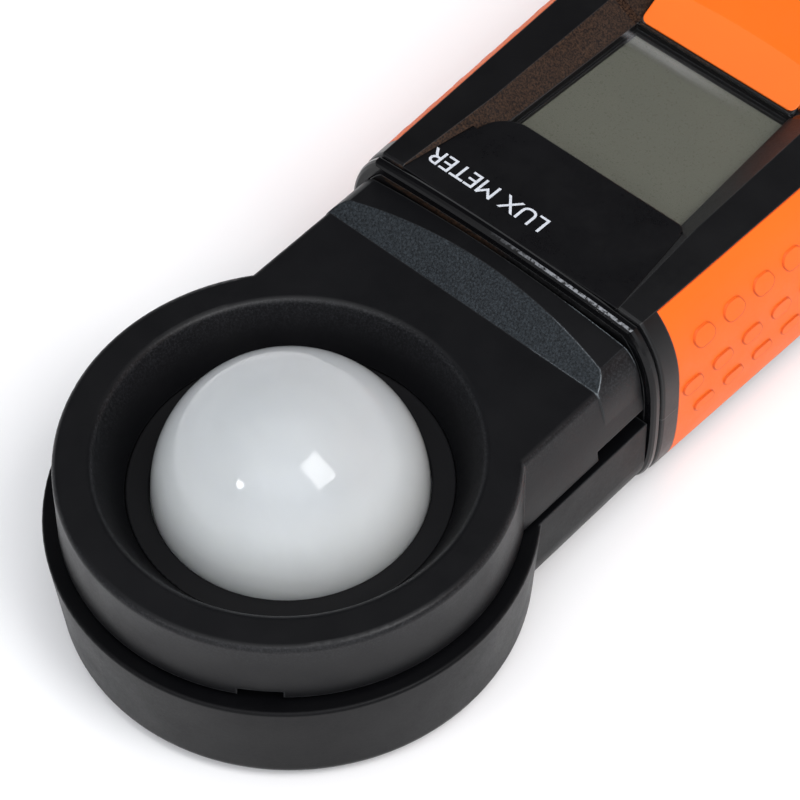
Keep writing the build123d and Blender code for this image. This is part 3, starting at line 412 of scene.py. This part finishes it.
def cell_wrap():
    """Shrink-wrapped cell: charcoal sleeve with a copper-coloured band and bare metal at its ends."""
    s = Shader("cell_wrap", (0.03, 0.032, 0.036), 0.28)
    cell_middle = -52.5 * MM
    reach = s.math("ABSOLUTE", s.math("SUBTRACT", s.place("Y"), cell_middle))
    band = s.ramp(reach, 14.9 * MM, 15.0 * MM)
    bare = s.ramp(reach, 21.0 * MM, 21.1 * MM)
    tint = s.mix(band, s.drifting(0.1), (0.45, 0.17, 0.06))
    s.set(base_color=s.mix(bare, tint, (0.62, 0.61, 0.58)), metallic=bare)
    s.set(normal=s.bump(s.noise(500.0, 3.0), 0.15, 0.05 * MM))
    return s


def foam():
    """Open-cell foam strip."""
    s = Shader("foam_grey", (0.06, 0.06, 0.065), 0.9)
    pores = s.cells(1900.0)
    s.set(base_color=s.mix(s.ramp(pores, 0.1, 0.5), (0.02, 0.02, 0.022), (0.09, 0.09, 0.095)))
    s.set(normal=s.bump(pores, 0.8, 0.2 * MM))
    return s


apply(circuit_board(), "main_board", "sensor_board")
apply(cell_wrap(), "battery_cells")
apply(foam(), "battery_pad")
apply(
    metal("steel", (0.55, 0.54, 0.52), 0.32),
    "board_screws", "sensor_board_screws", "head_screws", "case_screws",
)
apply(
    metal("spring_steel", (0.66, 0.65, 0.63), 0.22, 900.0, (1, 8, 1)),
    "battery_contact_plates", "battery_contact_springs", "switch_domes", "swivel_clip", "swivel_washer",
)
apply(metal("can_metal", (0.70, 0.62, 0.40), 0.25), "photodiode")
apply(moulded("capacitor_sleeve", (0.02, 0.03, 0.09), 0.3, strength=0.05), "board_capacitors")
apply(moulded("filter_green", (0.05, 0.22, 0.10), 0.08, strength=0.02), "colour_filter")
apply(moulded("shaft_acetal", (0.05, 0.05, 0.055), 0.3, grain=1500.0), "swivel_shaft")
apply(moulded("bushing_acetal", (0.70, 0.69, 0.65), 0.35, grain=1500.0), "swivel_bushing")

# ---------------------------------------------------------------- printed marks
PRINT_T = 0.02 * MM
CAPITAL_SHARE = 0.70  # height of a capital over the size of the font
ink = Shader("ink_white", (0.62, 0.65, 0.70), 0.45)
ink_grain = ink.noise(3000.0, 3.0, 0.6)
ink.set(base_color=ink.mix(ink.ramp(ink_grain, 0.3, 0.75), (0.50, 0.53, 0.58), (0.72, 0.75, 0.80)))
ink.set(normal=ink.bump(ink_grain, 0.2, 0.01 * MM))


def add_mark(name, mesh, place, tilt, body):
    """Put a printed mark on the object and let it ride its body."""
    mesh.materials.clear()
    mesh.materials.append(ink.material)
    mark = bpy.data.objects.new(name, mesh)
    mark.location = place
    mark.rotation_euler = (tilt, 0.0, 0.0)
    bpy.context.scene.collection.objects.link(mark)
    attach(mark, body)
    return mark


def lettering(name, text, height, place, tilt, body, spacing=1.0):
    """Thin printed word, centred on its place and reading along +X, with capitals of this height."""
    curve = bpy.data.curves.new(name, "FONT")
    curve.body = text
    curve.size = height / CAPITAL_SHARE
    curve.space_character = spacing
    curve.align_x = "CENTER"
    curve.extrude = PRINT_T
    curve.resolution_u = 6
    holder = bpy.data.objects.new(name + "_curve", curve)
    bpy.context.scene.collection.objects.link(holder)
    mesh = bpy.data.meshes.new_from_object(holder)
    bpy.data.objects.remove(holder)
    return add_mark(name, mesh, place, tilt, body)


def power_symbol(name, radius, stroke, place, body):
    """Open ring with an upright bar in its gap."""
    work = bmesh.new()
    half_gap = math.radians(38)
    steps = 40
    inner = []
    outer = []
    for index in range(steps + 1):
        angle = math.pi / 2 + half_gap + (2 * math.pi - 2 * half_gap) * index / steps
        for ring, r in ((inner, radius - stroke / 2), (outer, radius + stroke / 2)):
            ring.append(work.verts.new((r * math.cos(angle), r * math.sin(angle), 0.0)))
    for index in range(steps):
        work.faces.new((inner[index], outer[index], outer[index + 1], inner[index + 1]))
    half = stroke / 2
    foot, head = radius * 0.25, radius * 1.25
    corners = ((-half, foot), (half, foot), (half, head), (-half, head))
    work.faces.new([work.verts.new((x, y, 0.0)) for x, y in corners])
    bmesh.ops.recalc_face_normals(work, faces=work.faces)
    top = bmesh.ops.extrude_face_region(work, geom=list(work.faces))
    lifted = [item for item in top["geom"] if isinstance(item, bmesh.types.BMVert)]
    bmesh.ops.translate(work, verts=lifted, vec=(0, 0, PRINT_T))
    bmesh.ops.recalc_face_normals(work, faces=work.faces)
    mesh = bpy.data.meshes.new(name)
    work.to_mesh(mesh)
    work.free()
    return add_mark(name, mesh, place, 0.0, body)


def key_top(node):
    """Middle of a key's top face."""
    low, high = (Vector(corner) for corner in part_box(node))
    return Vector(((low.x + high.x) / 2, (low.y + high.y) / 2, high.z))


# the word on the plate, which slopes up toward +Y
PLATE_T = 1.0 * MM
WORD_HEIGHT = 2.6 * MM
WORD_X = 7.0 * MM
WORD_FROM_EDGE = 5.55 * MM
plate_low, plate_high = (Vector(corner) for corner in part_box("nameplate"))
plate_rise = plate_high.z - plate_low.z - PLATE_T
plate_tilt = math.atan2(plate_rise, plate_high.y - plate_low.y)
word_y = plate_high.y - WORD_FROM_EDGE
word_z = plate_high.z - (plate_high.y - word_y) * math.tan(plate_tilt) + PRINT_T
lettering(
    "nameplate_lettering", "LUX METER", WORD_HEIGHT, (WORD_X, word_y, word_z), plate_tilt, "meter_body",
    spacing=0.98,
)

# the marks on the keys
LEGEND_HEIGHT = 1.9 * MM
for node, text, body in (
    ("hold_button", "HOLD", "hold_key"),
    ("max_min_button", "MAX", "max_min_key"),
    ("units_button", "LX/FC", "units_key"),
):
    spot = key_top(node) + Vector((0, -LEGEND_HEIGHT / 2, PRINT_T))
    lettering(node + "_legend", text, LEGEND_HEIGHT, spot, 0.0, body)
POWER_RADIUS = 1.75 * MM
POWER_STROKE = 0.42 * MM
power_spot = key_top("power_button") + Vector((0, 0, 0.2 * PRINT_T))
power_symbol("power_button_legend", POWER_RADIUS, POWER_STROKE, power_spot, "power_key")

# ---------------------------------------------------------------- camera
SENSOR_WIDTH = 36.0
FOCAL_LENGTH = 142.5132
CAMERA_PLACE = (-0.1626634, 0.2110052, 0.3229804)
CAMERA_TURN = (0.6588927, 0.0164871, -2.4063578)

camera_data = bpy.data.cameras.new("camera")
camera_data.sensor_width = SENSOR_WIDTH
camera_data.lens = FOCAL_LENGTH
camera_data.clip_start = 0.01
camera = bpy.data.objects.new("camera", camera_data)
camera.location = CAMERA_PLACE
camera.rotation_euler = CAMERA_TURN
bpy.context.scene.collection.objects.link(camera)
bpy.context.scene.camera = camera


# ---------------------------------------------------------------- light and floor
def direction(azimuth, elevation):
    """Unit vector from degrees: azimuth from +X toward +Y, elevation above the floor."""
    a, e = math.radians(azimuth), math.radians(elevation)
    return Vector((math.cos(e) * math.cos(a), math.cos(e) * math.sin(a), math.sin(e)))


# colour, middle, and the cosines from the middle at which a patch of light starts and is full
LIGHT_PATCHES = (
    ((0.05, 0.05, 0.056), (0, 0, 1), -2.0, -1.5),  # all round
    ((0.80, 0.81, 0.83), (0, 0, 1), 0.55, 0.12),  # band low down
    ((1.62, 1.64, 1.68), tuple(direction(127, 80)), 0.70, 0.97),  # overhead
    ((1.25, 1.27, 1.33), tuple(direction(128, 38)), 0.70, 0.95),  # in front of the dome
    ((0.36, 0.19, 0.13), tuple(direction(-141, 34)), 0.86, 0.98),  # warm card to one side
)


def studio_world():
    """Soft light from patches of sky, added together."""
    world = bpy.data.worlds.new("studio")
    world.use_nodes = True
    tree = world.node_tree
    background = tree.nodes["Background"]
    toward = tree.nodes.new("ShaderNodeTexCoord").outputs["Generated"]
    total = None
    for colour, aim, start, full in LIGHT_PATCHES:
        dot = tree.nodes.new("ShaderNodeVectorMath")
        dot.operation = "DOT_PRODUCT"
        dot.inputs[1].default_value = aim
        tree.links.new(toward, dot.inputs[0])
        fade = tree.nodes.new("ShaderNodeMapRange")
        fade.interpolation_type = "SMOOTHSTEP"
        fade.inputs["From Min"].default_value = start
        fade.inputs["From Max"].default_value = full
        tree.links.new(dot.outputs["Value"], fade.inputs["Value"])
        lamp = tree.nodes.new("ShaderNodeVectorMath")
        lamp.operation = "SCALE"
        lamp.inputs[0].default_value = colour
        tree.links.new(fade.outputs["Result"], lamp.inputs["Scale"])
        if total is None:
            total = lamp.outputs["Vector"]
        else:
            add = tree.nodes.new("ShaderNodeVectorMath")
            add.operation = "ADD"
            tree.links.new(total, add.inputs[0])
            tree.links.new(lamp.outputs["Vector"], add.inputs[1])
            total = add.outputs["Vector"]
    tree.links.new(total, background.inputs["Color"])
    bpy.context.scene.world = world


def soft_box(name, azimuth, elevation, distance, size, power, aim):
    """Rectangular lamp, this far from the aim point in this direction and facing it."""
    data = bpy.data.lights.new(name, "AREA")
    data.shape = "RECTANGLE"
    data.size, data.size_y = size
    data.energy = power
    lamp = bpy.data.objects.new(name, data)
    lamp.location = Vector(aim) + direction(azimuth, elevation) * distance
    lamp.rotation_euler = (Vector(aim) - lamp.location).to_track_quat("-Z", "Y").to_euler()
    bpy.context.scene.collection.objects.link(lamp)


LAMP_DISTANCE = 0.7
FLOOR_HALF = 2.0

studio_world()
dome_low, dome_high = (Vector(corner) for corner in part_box("diffuser_dome"))
dome_middle = (dome_low + dome_high) / 2
soft_box("key", -179.0, 56.5, LAMP_DISTANCE, (0.23, 0.31), 2.0, dome_middle)
soft_box("kicker", 77.6, 39.9, LAMP_DISTANCE, (0.075, 0.06), 0.3, dome_middle)

floor_mesh = bpy.data.meshes.new("floor")
work = bmesh.new()
bmesh.ops.create_grid(work, x_segments=8, y_segments=8, size=FLOOR_HALF)
work.to_mesh(floor_mesh)
work.free()
floor = bpy.data.objects.new("floor", floor_mesh)
bpy.context.scene.collection.objects.link(floor)
paper = Shader("floor_paper", (0.95, 0.95, 0.95), 0.6)
paper.set(base_color=paper.mix(paper.noise(30.0, 3.0), (0.94, 0.94, 0.94), (0.96, 0.96, 0.96)))
floor_mesh.materials.append(paper.material)

bpy.context.scene.view_settings.view_transform = "Standard"
bpy.context.scene.view_settings.look = "None"
